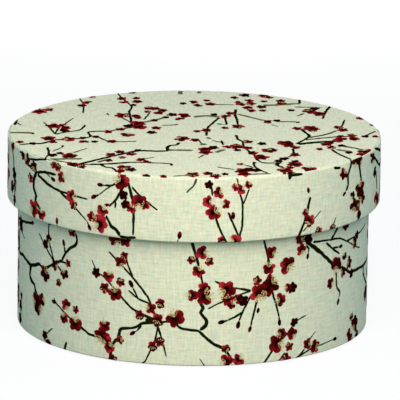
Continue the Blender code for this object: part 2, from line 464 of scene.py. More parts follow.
paper = {
    "fibreStretch": (1.0, 1.0, 3.0),
    "fibreNoise": (4.0, 0.65),      # detail, roughness
    "cloudNoise": (40.0, 2.0),      # scale, detail
    "fibreShare": 0.6,
    "cloudShare": 0.4,
    "darkAt": 0.35,
    "paleAt": 0.62,
    "roughness": 0.75,
    "fibreRoughness": 0.15,
    "sheen": 0.3,
    "bump": 0.3,
    # slot: name, pale and dark colour, then a fibre's width and the bump's depth in metres
    "kinds": {
        "lining_paper": ("liningPaper", (0.82, 0.80, 0.71), (0.74, 0.71, 0.61), 0.0012, 0.0001),
        "underside_paper": ("undersidePaper", (0.64, 0.62, 0.52), (0.55, 0.53, 0.44), 0.0015, 0.0001),
        "grey_board": ("greyBoard", (0.36, 0.32, 0.27), (0.26, 0.23, 0.19), 0.0018, 0.0003),
        "gummed_tape": ("gummedTape", (0.53, 0.39, 0.23), (0.44, 0.31, 0.18), 0.001, 0.00015),
    },
}


# Paper and board for what the cloth doesn't cover
def makePaper(name, pale, dark, fibre, depth):
    material, tree, shader = newTree(name)
    place = addNode(tree, "ShaderNodeTexCoord").outputs["Object"]
    fibrous = stretched(tree, place, paper["fibreStretch"])
    fibres = noiseValue(tree, fibrous, 1 / fibre, *paper["fibreNoise"])
    clouds = noiseValue(tree, place, *paper["cloudNoise"])
    clouds = mathNode(tree, "MULTIPLY", clouds, paper["cloudShare"])
    value = scaledPlus(tree, fibres, paper["fibreShare"], clouds)
    colour = ramp(tree, value, [(paper["darkAt"], dark), (paper["paleAt"], pale)])
    tree.links.new(colour, shader.inputs["Base Color"])
    roughness = scaledPlus(tree, fibres, paper["fibreRoughness"], paper["roughness"])
    tree.links.new(roughness, shader.inputs["Roughness"])
    shader.inputs["Specular IOR Level"].default_value = paper["sheen"]
    bumped(tree, shader, fibres, paper["bump"], depth)
    return material


finishes = {slot: makePaper(*kind) for slot, kind in paper["kinds"].items()}
print("materials made")


# Pieces

def keepMesh(drawing, name):
    mesh = bpy.data.meshes.new(name)
    drawing.to_mesh(mesh)
    drawing.free()
    return mesh


def finishPiece(drawing, name, body, material):
    mesh = keepMesh(drawing, name)
    mesh.shade_smooth()
    mesh.set_sharp_from_angle(angle=math.radians(cloth["sharpAngle"]))
    mesh.materials.append(material)
    piece = bpy.data.objects.new(name, mesh)
    bpy.context.scene.collection.objects.link(piece)
    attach(piece, body)
    return piece


def addFlatMap(drawing):
    # The flat cloth's own coordinates, in metres, for the weave
    flat = drawing.loops.layers.uv.new("flat")
    for face in drawing.faces:
        for loop in face.loops:
            loop[flat].uv = loop.vert.co.xy * mm


def cut(drawing, way, distance, clearBeyond=False, clearBefore=False):
    # Cuts the flat drawing square to a way, that far from its middle
    bmesh.ops.bisect_plane(drawing, geom=drawing.verts[:] + drawing.edges[:] + drawing.faces[:],
                           plane_co=Vector(way) * distance, plane_no=way,
                           clear_outer=clearBeyond, clear_inner=clearBefore)


sideways = (1, 0, 0)
upwards = (0, 1, 0)


def wrap(drawing, place):
    for vert in drawing.verts:
        vert.co = place(vert.co)


def thicken(piece):
    solidify = piece.modifiers.new("thickness", "SOLIDIFY")
    solidify.thickness = cloth["thickness"] * mm
    solidify.offset = -1
    solidify.use_even_offset = True


def trimLap(drawing, shape):
    # The lapped end has no hems, so that it lies flat
    end = stripEnds(shape)[1]
    low, high = shape["wall"]
    start = end - cloth["lap"]
    cut(drawing, sideways, start)
    beyond = []
    for face in drawing.faces:
        middle = face.calc_center_median()
        if middle.x > start and not low < middle.y < high:
            beyond.append(face)
    bmesh.ops.delete(drawing, geom=beyond, context="FACES")


def makeStrip(name, shape, body):
    left, right = stripEnds(shape)
    low, high = shape["along"][0], shape["along"][-1]
    drawing = bmesh.new()
    rows = round((high - low) / cloth["rowHeight"])
    bmesh.ops.create_grid(drawing, x_segments=cloth["steps"], y_segments=rows, size=0.5)
    bmesh.ops.scale(drawing, verts=drawing.verts, vec=(right - left, high - low, 1))
    bmesh.ops.translate(drawing, verts=drawing.verts, vec=((left + right) / 2, (low + high) / 2, 0))
    for crease in shape["creases"]:
        cut(drawing, upwards, crease)
    trimLap(drawing, shape)
    addFlatMap(drawing)
    wrap(drawing, wrapStrip(shape))
    piece = finishPiece(drawing, name, body, linenCloth)
    thicken(piece)
    flat = ((high - low) * mm, (right - left) * mm)
    return piece, flat


def makeTop(name, shape, body):
    drawing = bmesh.new()
    edge = shape["creases"][0]
    rings = round(edge / cloth["ringWidth"])
    stops = [edge * ring / rings for ring in range(rings)] + shape["creases"]
    stops.append(shape["along"][-1])
    dots = [drawing.verts.new((stop, 0, 0)) for stop in stops]
    for start, end in zip(dots, dots[1:]):
        drawing.edges.new((start, end))
    bmesh.ops.spin(drawing, geom=drawing.verts[:] + drawing.edges[:], axis=(0, 0, 1), cent=(0, 0, 0),
                   steps=cloth["steps"], angle=math.tau, use_merge=True)
    bmesh.ops.remove_doubles(drawing, verts=drawing.verts, dist=cloth["merge"])
    bmesh.ops.recalc_face_normals(drawing, faces=drawing.faces)
    if drawing.faces[:][0].normal.z < 0:
        bmesh.ops.reverse_faces(drawing, faces=drawing.faces)
    addFlatMap(drawing)
    wrap(drawing, wrapDisc(shape))
    piece = finishPiece(drawing, name, body, linenCloth)
    thicken(piece)
    return piece, shape["along"][-1] * mm


baseCloth, baseFlat = makeStrip("base_side_cloth", baseStrip, "base")
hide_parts("base_side_cover")
lidCloth, lidFlat = makeStrip("lid_side_cloth", lidStrip, "lid")
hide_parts("lid_side_cover")
topCloth, topFlatRadius = makeTop("lid_top_cloth", topDisc, "lid")
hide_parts("lid_top_cover")
print("cloth wrapped")


# The print. Boughs are (width at the start, width at the end, points), all in millimetres. Greens and
# pales are boughs in lighter ink, and twigs are points only. Blossoms are open, dusk or dark, in three
# sizes. A blossom or bud is (across, up), with the way that its stamens lean or that the bud points, in
# degrees, as a third number where that matters.

baseDrawing = {
    # The tone scales the shade of every blossom and bud in a drawing. It is partly painted light: the same
    # printed cloth gets brighter blossoms on the lid than on the base and the top.
    "tone": 0.95,           # how bright its blossoms are
    "stamens": 1.0,         # how many of them show their stamens
    "boughs": [
        (1.7, 1.3, [(-130, 40), (-120, 41), (-108, 39), (-98, 42), (-92, 41), (-84, 45), (-77, 48.5)]),
        (1.3, 1.2, [(-77, 48.5), (-74, 53), (-70, 57), (-66.5, 59), (-65.5, 62), (-66.5, 65.5)]),
        (2.3, 1.7, [(-108, 39), (-109, 34), (-107, 31), (-103, 29.5), (-102, 27), (-99.5, 25)]),
        (1.2, 1.1, [(-146, 57), (-120, 60), (-106, 62.5)]),
        (1.0, 0.8, [(-83, 46.5), (-85, 51), (-88, 58), (-88, 67)]),
        (1.0, 0.7, [(-83, 46.5), (-89, 51.5), (-98, 59)]),
        (0.7, 1.3, [(-83, 27), (-81, 24.5), (-71, 19), (-66, 17), (-57, 12.5), (-50, 11.5), (-43, 8)]),
        (1.4, 1.5, [(-45, -9), (-43.5, 1), (-43, 8), (-39.5, 12.5)]),
        (1.4, 1.1, [(-39.5, 12.5), (-38.5, 14.5), (-37.5, 18), (-30, 19.5), (-25, 22.5), (-17, 23.5)]),
        (1.5, 1.4, [(-24, 24.3), (-17.5, 23.8)]),
        (1.0, 1.4, [(-17, 23), (-11, 24.5), (-8, 24), (-6.5, 22), (-4, 20.5), (4, 19.5), (8, 16),
                    (13, 12), (18, 9.5), (22, 4), (27, -1), (33, -9)]),
        (1.3, 0.5, [(-17, 24), (-30, 29), (-36, 34), (-40, 38), (-48, 45), (-52, 47), (-55.5, 53)]),
        (1.0, 0.8, [(-17, 24), (-19, 28), (-23, 37), (-31, 46.5), (-38, 53), (-45, 59)]),
        (0.8, 0.7, [(-31, 47), (-33, 51), (-35.5, 58)]),
        (0.9, 0.7, [(-22, 33.5), (-28, 35.5), (-33.5, 39.5)]),
        (0.8, 0.7, [(-28, 35.5), (-31, 41)]),
        (0.9, 0.6, [(-17, 22), (-18.5, 14), (-20.5, 9), (-24, 1.5), (-26, 0.5)]),
        (0.9, 0.6, [(-17, 21), (-14, 11), (-12.5, 5)]),
        (1.5, 1.2, [(-76, -5), (-72.5, 5)]),
        (1.5, 1.0, [(-3, 80), (0.5, 67), (3.5, 56), (6.3, 44)]),
        (1.1, 1.5, [(3.5, 36.5), (6.5, 32), (5.2, 29.5), (8.5, 25), (8, 22.5), (5, 20)]),
        (1.2, 1.0, [(36, 82), (39, 67), (41.5, 57), (43, 48)]),
        (1.7, 1.5, [(43.5, 48), (39.5, 43.5), (34, 41)]),
        (1.0, 0.8, [(32, 40.5), (23, 42.5)]),
        (1.1, 0.5, [(32, 40.5), (24, 38), (16, 35), (9, 31.5)]),
        (0.9, 0.7, [(32, 38), (27.5, 29), (25.7, 24.5)]),
        (2.0, 1.2, [(52, 84), (62, 69), (67, 62), (75, 56), (85, 48), (90, 45), (98, 42), (104, 39),
                    (118, 38), (126, 37.5), (141, 39), (148, 41), (154, 40)]),
        (1.7, 1.0, [(126, 37), (125.5, 33), (132, 27), (138, 24), (143, 20), (150, 18)]),
        (1.1, 0.8, [(141, 39), (146, 46), (147, 54), (152, 60)]),
        (0.9, 0.7, [(143, 20), (145, 13), (149, 8)]),
        (0.9, 0.7, [(146, 46), (152, 49)]),
        (1.0, 0.5, [(70, 62), (84, 61), (92, 60), (99, 57), (112, 51), (117, 49.5)]),
        (0.9, 0.5, [(99, 57), (118, 58), (128, 60)]),
        (1.4, 1.2, [(84, 61), (89, 66), (96, 79)]),
        (1.1, 0.8, [(80, 60), (85, 56), (92, 51.5)]),
        (1.0, 0.8, [(85, 56), (91, 55.5)]),
        (1.1, 1.0, [(89, 42), (89.5, 36), (90.5, 33), (93, 30.5), (92.3, 28)]),
        (1.3, 0.5, [(33, -9), (40, 0), (46, 8), (54, 15), (59, 20.5), (66, 23)]),
        (0.9, 0.8, [(56, -4), (61, 1), (65.5, 4.5)]),
        (0.9, 0.7, [(60, 0.5), (71, 4.5)]),
        (1.0, 0.9, [(47, -2), (52.5, 4.5)]),
        (1.4, 0.9, [(-42, 78), (-39, 70), (-38, 65)]),
    ],
    "greens": [
        (0.6, 0.4, [(8, 0), (5, 4.5)]),
        (0.8, 0.6, [(-91, 4.5), (-84, 10)]),
        (0.6, 0.5, [(68.5, 9), (73, 13)]),
        (0.6, 0.5, [(75, 4.5), (87, 5.5)]),
        (0.7, 0.5, [(-126, 54), (-118, 51)]),
    ],
    "twigs": [
        [(-74, 53), (-75, 57)], [(-79, 48), (-73, 48)], [(-80, 45), (-76, 42)], [(-26, 21), (-28.5, 18)],
        [(16, 44.5), (12.5, 46.5)], [(27.5, 29), (23, 26.5), (19.5, 25)],
        [(35.5, 35), (33, 25), (32.3, 21.5)], [(44, 39), (47, 30), (48.5, 24.5)],
        [(65, 61), (67, 59), (66.7, 57)],
    ],
    "openLarge": [
        (-66, 16.5, 90), (-49, 12.5, 230), (-41, 37, 100), (-8, 26.5, 120), (7.5, 38, 10),
        (18.5, 41.5, 205), (36.5, 38.5, -80), (53, 52, -40), (47.5, 10, -10), (146, 57, 60), (150, 17, 0),
    ],
    "openMiddle": [
        (-73, 25, -60), (-74.5, 18), (-46, 10), (-44, 7.5), (-47, 19, 100), (-45, 46, 80), (-47.5, 39),
        (-38, 54), (-35.5, 66.3), (-41.5, 65.5, -50), (-21.5, 31, 170), (-17.5, 25), (4, 52, 60),
        (6, 62, 0), (7, 42.5), (0.5, 39, 180), (19.5, 36.5), (41, 39.5), (43.5, 60, -20), (42, 52, 90),
        (49, 34), (61, 65), (62, 59, -60), (50, 15.5, 200), (57, 14, -45), (19, 3, 200), (26, 3.5, 40),
        (53, 0.8), (67.5, 7, 0), (72.5, 4.5), (143, 47), (152, 50, 20), (149, 33, 200), (141, 61),
        (145, 28),
    ],
    "openSmall": [
        (-72, 48), (-79, 36), (-66, 24), (-38, 12), (-42, 0.5), (-38, 43.5), (-27, 26.5), (-36, 58),
        (-16, 34), (-20, 10.5), (-16, 13), (0, 58), (9.5, 57), (35.5, 45.5), (55, 7.5), (19, 9.5),
        (-69, 65.5), (24.5, 36.5), (53.5, 40, 180), (139, 31), (152, 43), (147, 10), (141, 14), (138, 52),
    ],
    "duskLarge": [(-101, 21), (-98, 18), (-91, 38.5), (43.5, 43.5, 250), (89, 46), (111, 8.5)],
    "duskMiddle": [
        (-94, 23.5), (-82, 45), (-74.5, 42), (84.5, 37), (95.5, 41), (102, 44.5, 100), (98, 66.5),
        (108.5, 54), (104.5, 5), (106, 1),
    ],
    "duskSmall": [(-88, 58), (97, 49.5), (106.5, 14), (21.5, 33.5)],
    "darkLarge": [(-126, 57), (133, 20)],
    "darkMiddle": [(56.5, 39.5), (66, 65), (-133, 46), (-126, 12), (-127, 5), (27.5, 35.5)],
    "darkSmall": [
        (112, 57.5), (-91, 54.5), (-52.5, 46.5), (-91, 4.5), (-88, 0.8), (105, 38), (58, 20.5), (115, 2),
        (-124, 18),
    ],
    "buds": [
        (-75, 57.5), (-31.5, 42), (-30, 17), (25.5, 23.5), (17.5, 24.5), (32, 20.5), (36, 28.5, 80),
        (48.7, 22.5), (66.5, 56), (92, 55.5), (91.8, 26.5), (88, 5.5), (-107, 62.5, 10),
        (-81.5, 24.8, 180),
    ],
}

lidDrawing = {
    # brighter than the base's blossoms, partly as painted light
    "tone": 1.2,
    "stamens": 1.0,
    "boughs": [
        (1.5, 1.1, [(-130, 100), (-127, 92), (-125, 78), (-126, 66)]),
        (1.3, 1.1, [(-110, 98), (-107, 97), (-97, 94.5), (-90, 96), (-80, 96.5)]),
        (2.1, 1.5, [(-97, 94), (-99.5, 90), (-99.5, 85), (-97, 81.5), (-98, 79), (-93, 75)]),
        (1.5, 0.7, [(-96, 93.5), (-86, 90), (-79, 88.5), (-58, 87)]),
        (1.2, 0.5, [(-77, 88), (-69, 83.5), (-58, 75)]),
        (0.7, 0.6, [(-88.5, 96), (-84.5, 94.3)]),
        (0.9, 0.8, [(-108, 99.5), (-98, 101), (-88, 103.5)]),
        (1.2, 0.9, [(-153, 70), (-147, 80), (-142, 86), (-141, 94)]),
        (1.3, 1.1, [(130, 103), (140, 100), (149, 97)]),
        (1.0, 1.8, [(-46.5, 80), (-43.5, 74.5), (-41, 73.5), (-38.5, 70)]),
        (1.5, 1.3, [(-38.5, 70), (-36, 69.4), (-29.5, 70)]),
        (1.4, 0.9, [(-34.5, 99.5), (-32.3, 93), (-31, 86), (-31, 71)]),
        (0.9, 0.7, [(-32, 97), (-27, 92), (-18, 85.5)]),
        (1.2, 0.9, [(-35.5, 99), (-38, 94.5), (-41, 89), (-45, 85)]),
        (1.0, 0.8, [(-40.5, 98.5), (-43, 96.5), (-47.5, 96)]),
        (0.9, 0.8, [(25, 66), (25.5, 73), (26.5, 77.5), (26.5, 89), (25, 95)]),
        (0.7, 0.6, [(27, 89), (30, 97)]),
        (1.7, 1.1, [(57, 62), (60, 70), (63.5, 78), (66.3, 89)]),
        (1.7, 1.0, [(103, 105), (106.5, 99), (109, 90), (107.5, 80), (106.5, 70), (105, 60)]),
        (2.0, 1.9, [(53.5, 104.5), (53, 100)]),
        (1.5, 1.2, [(53, 102.3), (61, 102)]),
        (1.5, 1.2, [(98.5, 105), (98, 101), (95.5, 96), (95.5, 90), (93.5, 87.5)]),
        (1.4, 1.1, [(83, 102), (88.5, 101)]),
        (1.5, 1.2, [(121, 101.5), (131, 97), (140, 92), (148, 90)]),
        (1.6, 1.2, [(133, 90), (136, 79)]),
    ],
    "greens": [
        (0.8, 0.6, [(2.5, 105), (1, 100), (-3, 95.5)]),
        (0.7, 0.4, [(62, 71), (74, 80.5)]),
        (0.6, 0.4, [(-43.5, 96.5), (-51, 90.5)]),
        (0.7, 0.6, [(23, 104), (24, 100)]),
        (0.7, 0.5, [(82.5, 69), (85.5, 75)]),
    ],
    "twigs": [
        [(-41, 88), (-41.3, 84.5)], [(10, 99), (10.5, 94)],
        [(12.5, 82), (14, 77.5), (16, 73), (18.5, 68.5)], [(19, 85), (24.5, 72)], [(-7.5, 69), (-7, 70.5)],
        [(-117, 101), (-112, 101.5)], [(-79.5, 68), (-79, 69)],
    ],
    "openLarge": [
        (-100, 74, 200), (-50.5, 75, 205), (-38, 100, 165), (-28, 89, -95), (11.5, 85, 30), (134, 74),
        (-146, 82, 120),
    ],
    "openMiddle": [
        (-130, 102), (-92, 73, 90), (-75.5, 96), (-68.5, 87), (-55, 78), (-48.5, 82.5, 60), (14, 95.5, 20),
        (8.5, 91, 0), (22.5, 69.5, 180), (66, 76), (140, 73), (-151, 76), (-143, 91, 160),
    ],
    "openSmall": [
        (-82, 101.5), (-78.5, 100.8), (-103, 90), (-67, 82.5), (-32, 85.5), (-24.8, 88), (17.5, 89.5, 170),
        (15.5, 70), (25.8, 97, 30), (29.7, 99.3, 50), (63.5, 81, 40), (22.8, 98.3), (83, 69.5),
        (72.5, 69.5), (-139, 84), (-152, 90),
    ],
    "duskLarge": [(108, 86.5), (102.5, 77.5)],
    "duskMiddle": [
        (-124, 81.5), (-107, 99), (-99.5, 97), (91.5, 97.5), (102.5, 101.5), (107.5, 101), (110.5, 80.5),
        (126, 98),
    ],
    "duskSmall": [(100, 83.5)],
    "darkMiddle": [(-126, 87), (-130, 79), (130, 90)],
    "darkSmall": [(-36.5, 92), (-35.5, 87.3), (107.5, 72), (8.5, 100), (-112, 100), (-125, 73)],
    "buds": [
        (-83.5, 94, -20), (-79, 70.5), (-57, 73), (-49, 96), (-53, 89.5), (-6.5, 71.5, 80),
        (-47, 85.4, 15), (21.7, 82, 95), (65.2, 91.8, 105), (93, 86.8, 215), (-141, 96),
    ],
}

topDrawing = {
    # between the base's and the lid's, partly as painted light
    "tone": 1.04,
    "stamens": 0.3,
    "boughs": [
        (1.5, 1.0, [(-33, 12), (-34, 30), (-35, 45), (-34, 58), (-39, 75), (-42, 88)]),
        (1.8, 1.4, [(-92, -34), (-88, -32), (-80, -30), (-73, -22), (-66, -21), (-55, -14), (-56, -3),
                    (-45, 0), (-34, 8), (-31, 10)]),
        (1.7, 2.0, [(-7.5, -24), (-8.5, -29), (-12.5, -31.5), (-13.5, -36), (-13, -43)]),
        (2.1, 2.3, [(-13, -43), (-20, -44), (-29, -44), (-40, -54), (-55, -70), (-62, -78)]),
        (1.4, 1.0, [(-55, -14), (-52, -12), (-46, -22), (-38, -24), (-32, -23)]),
        (1.7, 1.3, [(-92, -41), (-84, -55), (-77, -64), (-68, -70), (-60, -75), (-54, -75)]),
        (2.2, 1.1, [(-54, -75), (-46, -74), (-40, -72), (-30, -69), (-11, -71)]),
        (1.7, 1.3, [(-48, -75), (-45, -81), (-42, -82), (-39, -91)]),
        (1.3, 1.2, [(-77, -39), (-76, -48), (-76, -55), (-78, -65)]),
        (1.3, 1.0, [(-77, 5), (-74, -8)]),
        (1.2, 1.0, [(-72, 7), (-74, -8)]),
        (1.4, 1.3, [(58, 70), (58, 82)]),
        (1.9, 1.2, [(23, 54), (22.5, 42), (23.5, 30), (24, 18)]),
        (1.6, 1.2, [(14, 34), (8, 12), (7, -8)]),
        (1.4, 1.2, [(17, 35), (18, 18)]),
        (1.9, 1.1, [(75, 66), (72, 52), (70, 35)]),
        (1.6, 1.5, [(58, 10), (60, 3), (62, -6), (55, -24)]),
        (3.0, 2.3, [(56, -24), (66, -19), (75, -16), (79, -13)]),
        (1.6, 1.3, [(60, -14), (72, -8), (85, -4)]),
        (1.4, 1.2, [(91, -5), (98, 8)]),
        (1.6, 1.3, [(62, -9), (72, 0), (77, 8)]),
        (1.1, 0.9, [(80, 18), (82, 34)]),
        (1.5, 1.4, [(23, -5), (24, -15), (26.5, -20), (27, -32), (32.5, -50), (33.5, -58), (37, -66),
                    (46, -66)]),
        (2.2, 1.7, [(46, -66), (44, -70), (48, -78), (48, -88), (50, -96)]),
        (1.4, 1.1, [(53, -34), (53, -48), (47, -58), (46, -66)]),
        (1.7, 1.3, [(73.5, -34), (76, -42), (80, -50), (85, -59)]),
        (1.4, 1.0, [(52, -86), (60, -85)]),
        (1.6, 1.3, [(-95.5, 23), (-96, 10)]),
        (1.2, 1.1, [(15, -18), (16, -28)]),
        (1.4, 1.1, [(32, -66), (33, -76), (40, -91)]),
        (1.6, 1.2, [(-74, -9), (-68, -4), (-61, 1), (-58, 13)]),
        (0.9, 0.7, [(3, -18), (4.5, -25)]),
    ],
    "greens": [
        (0.9, 0.6, [(-26, -62), (-20, -57)]),
        (1.3, 0.9, [(60, 47), (56, 40)]),
        (1.0, 0.6, [(42, 20), (46, 15)]),
        (1.2, 1.0, [(-27, 27), (-25, 36), (-24, 43)]),
        (1.9, 1.5, [(79, -26), (86, -31), (90, -35)]),
        (1.3, 1.1, [(27, -71), (32, -77)]),
        (1.3, 0.9, [(13, -77), (22, -82)]),
        (1.8, 1.5, [(-50, -70), (-43, -62)]),
    ],
    "pales": [
        (2.4, 2.2, [(-13, -41), (0, -41)]),
        (2.3, 1.8, [(-76, -65), (-58, -63)]),
        (1.6, 1.2, [(10, 65), (22, 65)]),
        (2.6, 2.2, [(38, 65), (46, 66), (52, 68), (58, 70)]),
        (2.8, 2.4, [(-7.5, 88), (-7.5, 96)]),
        (2.6, 2.2, [(0, 35), (8, 38), (14, 35)]),
        (1.8, 1.2, [(55, 62), (70, 61)]),
        (2.0, 1.7, [(24, 43), (38, 29)]),
        (1.8, 1.6, [(45, 27), (56, 27)]),
        (2.8, 2.3, [(3.5, -27), (7.5, -27)]),
        (3.2, 2.2, [(12, -45), (17, -38)]),
        (2.6, 2.0, [(-27, 21), (-20, 27), (-15, 34)]),
        (1.5, 1.4, [(-17, 14), (-10, 16)]),
        (2.4, 1.8, [(76, -35), (84, -39)]),
        (1.8, 1.4, [(31, -91), (41, -90)]),
        (2.6, 2.4, [(-98, -7), (-86, -7)]),
        (2.4, 2.2, [(2.5, 91), (3, 96)]),
    ],
    "twigs": [
        [(-33, 19), (-38, 29), (-40, 33)], [(-46, 36), (-47, 41)], [(-60, 60), (-63, 76)],
        [(-60, 56), (-60, 40)], [(-84, 47), (-84, 55)], [(-95.5, 16), (-92.5, 10)], [(-78, 9), (-81, 18)],
        [(-70, 12), (-65, 28)], [(-74, -48), (-69, -38)], [(-63, -50), (-56, -40)], [(-10, -98), (0, -95)],
        [(17, -24), (10, -18)], [(6, -50), (3, -58)],
    ],
    "openLarge": [
        (-38.5, 36), (-30, 18), (-29, 10), (-5.5, 38), (-84, 42), (-75, 9.5), (-77, -19), (-66, -20),
        (-6, -15), (-35, -8), (-36, -81), (-65, -57), (-63, -76), (63, 12.5), (79, -13), (48.5, -22),
        (50.5, -26), (23.5, -31), (40, -39), (48, -80.5), (6.5, -39), (6.5, -45), (26, -84), (27, -91),
        (91.5, -37), (0, -94), (61, -77), (36, -54), (54, -68.5), (63.5, 51.5), (68.5, 46), (24, 14),
    ],
    "openMiddle": [
        (-39.5, 75.5), (-38.5, 68), (-31, 69), (-58, 65), (-61, 58), (-24.5, 54), (-17, 49), (-19, 43),
        (-31.5, 35), (-7.5, 29.5), (-79, 47), (-70, 11), (-68.5, 5.5), (-74, -26), (-58, -26), (-46, -2),
        (-39, 4), (-43, -24), (-38.5, -47), (-43, -53), (-32.5, -51), (-58, -80), (-27, -63.5),
        (-37.5, -88.5), (-20, 8), (47.5, 75.5), (48, 69.5), (-0.5, 70), (2.5, 62.5), (9, 65.5), (25, 71),
        (25.5, 65.5), (30, 75), (31, 68), (29.5, 59), (31, 51.5), (38.5, 87), (41.5, 84), (20, 44.5),
        (17.5, 37), (7, 4.5), (65.5, 11), (61, 10), (42, -38), (-22, 53), (40.5, 26), (78, 15.5),
        (80.5, 9.5), (56, 11.5), (64, 7), (90.5, 37.5), (85, -3), (86, -10), (54.5, -31), (73.5, -30),
        (71, -23), (18, -33), (29, -34), (31.5, -45), (54, -48), (51, -75.5), (1, -18), (8, -91),
        (12, -96), (89, -45), (29, -20),
    ],
    "openSmall": [
        (-31.5, 77), (-56, 79), (-25, 45.5), (-20.5, 54), (-30, 31), (-92, -28), (-37, -59), (-24, -68),
        (-24, -97), (-15, -98), (22, 82), (37.5, 52.5), (7, 74), (38.5, 74), (17, 10.5), (2, 2), (79, -5),
        (67, -34), (25, -70), (51, -86), (97.5, -4),
    ],
    "duskSmall": [(-44, -66)],
    "darkMiddle": [
        (-35, 12), (-11.5, 39.5), (-22, -2), (-69, 0), (-32, -85), (-74, -56), (37, 61), (66, 58),
        (36.5, -24), (33, -83), (29.5, -81), (11, -34), (48, -57), (28, 88), (72, -19),
    ],
    "darkSmall": [
        (-33, 61), (-34, 91), (-6, 66), (-85, -31), (-59, -17), (-52, -14), (-21, 25.5), (-15, 33),
        (-29, -43), (-70, -52), (11, 41), (45, 29), (92, -4), (79, -26), (23.5, -39), (54, -62), (45, -62),
        (17, -92), (-52.5, -25), (97, 22), (53, 54), (82.5, -41),
    ],
    "buds": [
        (-10, 16), (-32, -23), (-11, -72), (-69, -37), (-86, -7), (57, 27), (-42, 88), (15, 19), (23, -6),
        (9, -14), (32, -65),
    ],
}

ink = {
    # How far the print is moved on the cloth
    "settle": {"sides": (-0.55, 0.4), "top": (-0.65, 0.8)},
    # How much wider across and up a bough and a blossom are made than drawn
    "boughNib": {"sides": (1.14, 1.14), "top": (0.92, 1.38)},
    "blossomStretch": {"sides": (1.03, 1.03), "top": (0.87, 1.19)},
    "boughLift": 0.03,
    "twigLift": 0.045,
    "blossomLifts": {"blossoms": 0.06, "stamens": 0.15},
    "boughSpread": 0.012,   # so that two boughs that cross don't lie in one plane
    "blossomSpread": 0.03,  # and neither do two blossoms
    "tints": {"boughs": 0.0, "greens": 0.5, "pales": 0.9},
    # Thin wood is greener: this much for each millimetre under this width, up to a most
    "greenPerMillimetre": 0.35,
    "greenUnder": 1.6,
    "greenMost": 0.25,
    "boughStep": 1.3,       # between cross lines of a bough
    "ease": 0.13,           # how far a bough rounds its bends
    "knobs": 0.5,           # how uneven its sides are
    "knobsAlong": 0.5,
    "knobsAcross": 3,
    "knobSeeds": 90,
    "tipShare": 0.5,        # of the width, at both ends
    "boughSwell": 0.15,     # added to every width
    "twigWidth": (1.05, 0.75),
    "twigTint": (0.0, 0.4),
    "stalkWidth": (0.9, 0.7),
    "stalkTint": (0.0, 0.3),
    "stalkReach": (0.5, 4.0),       # a bud this far from a twig's end hangs on it
}

# Sizes inside a blossom are shares of its radius, and pairs are the least and the most
blossom = {
    "radius": {"large": 5.1, "middle": 3.6, "small": 2.7},
    "radiusShare": (0.92, 1.08),
    "tones": {
        "open": (0.65, 1.3),
        "leaning": (0.65, 1.3),
        "dusk": (0.35, 0.7),
        "dark": (0.08, 0.3),
        "bud": (0.15, 0.6),
    },
    "variants": 9,
    "leaningShare": 0.4,
    "layer": 0.008,         # millimetres from one patch of ink up to the next
    "ragged": 0.12,
    "petals": 5,
    "turnSpread": 0.25,
    "shadow": (0.1, 0.75),          # how much darker the petals on one side are
    "petalTone": (0.15, 0.95),      # at the heart, and what the rim adds
    "petalSide": 0.7,               # how much brighter its free side is
    "petalOut": (0.48, 0.64),
    "petalLong": (0.33, 0.46),
    "petalWide": (0.30, 0.47),
    "petalSides": 12,
    "gapOut": 0.72,                 # of the petal's own
    "gapSize": (0.42, 0.42),
    "gapTone": 0.06,
    "smallSides": 8,
    "heartOff": 0.12,
    "heartLong": (0.26, 0.42),
    "heartWide": (0.18, 0.26),
    "heartTone": 0.02,
    "heartLayer": 6,
    "leaningTurns": (-1.75, -0.6, 0.55, 1.7),
    "leaningSpread": 0.15,
    "leaningOrder": (0, 2, 3, 1),
    "leaningHeart": (0.3, 0.26),
}

stamen = {
    # spread of the fan, least and most stamens, where they start and how far they reach
    "open": (0.8, (3, 5), 0.15, 0.62),
    "leaning": (0.75, (5, 6), 0.05, 0.78),
    "turnSpread": 0.12,
    "reachShare": (0.65, 1.15),
    "filamentWide": 0.042,
    "filamentTone": (0.35, 0.75),
    "speckLong": (0.08, 0.13),
    "speckWide": 0.09,
    "speckTone": (0.75, 1.0),
    "sides": 6,
}

bud = {
    "radius": 2.1,
    "radiusShare": (0.85, 1.2),
    "petalAt": 0.5,
    "petalSize": (0.85, 0.48),
    "petalSides": 10,
    "cupAt": 0.15,
    "cupSize": (0.5, 0.38),
    "cupTone": 0.03,
}

chance = random.Random(11)


def newDrawing():
    drawing = bmesh.new()
    drawing.verts.layers.float.new("shade")
    return drawing


def append(target, part):
    # Adds a small drawing to a large one
    mesh = keepMesh(part, "part")
    target.from_mesh(mesh)
    bpy.data.meshes.remove(mesh)


def between(ends, share):
    return ends[0] + (ends[1] - ends[0]) * share


def smoothLine(points):
    # A line through the points that rounds the bends a little
    spots = [Vector((*point, 0)) for point in points]
    line = [spots[0]]
    for index in range(len(spots) - 1):
        start, end = spots[index], spots[index + 1]
        before = spots[max(index - 1, 0)]
        after = spots[min(index + 2, len(spots) - 1)]
        count = max(2, round((end - start).length / ink["boughStep"]) + 1)
        line += geometry.interpolate_bezier(start, start + (end - before) * ink["ease"],
                                            end - (after - start) * ink["ease"], end, count)[1:]
    return line


